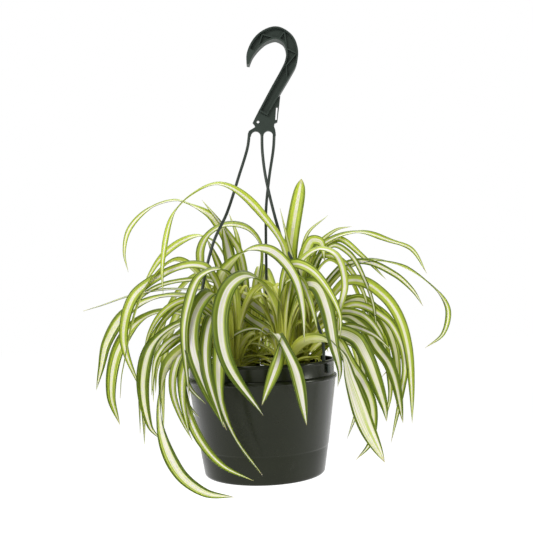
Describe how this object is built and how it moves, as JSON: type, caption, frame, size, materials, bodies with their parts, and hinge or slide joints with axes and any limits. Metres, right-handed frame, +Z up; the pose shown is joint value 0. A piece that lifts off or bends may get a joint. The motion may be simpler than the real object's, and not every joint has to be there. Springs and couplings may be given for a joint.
{
  "type": "potted spider plant",
  "caption": "Tapered plastic hanging pot with a moulded strand hanger and open hook, filled with potting mix and planted with a spider plant whose long striped leaves arch over the rim.",
  "frame": {"origin": "underside of the hook's bight, where the hanger bears on a rail or ceiling hook", "axes": "+Z up, -Y towards the viewer of the picture, +X to the viewer's right"},
  "size_m": [0.414, 0.2867, 0.5116],
  "materials": {
    "pot_plastic": "dark grey-green moulded plastic with a low sheen",
    "hanger_plastic": "dark green moulded plastic, satin",
    "potting_mix": "rough, crumbly, dark brown",
    "leaf": "satin leaf, green margins and a cream middle stripe"
  },
  "bodies": {
    "root": {"pot": "pot_plastic", "soil": "potting_mix", "hanger": "hanger_plastic", "rosette_left": "leaf", "rosette_front": "leaf", "rosette_right": "leaf", "rosette_back": "leaf"}
  },
  "joints": []
}
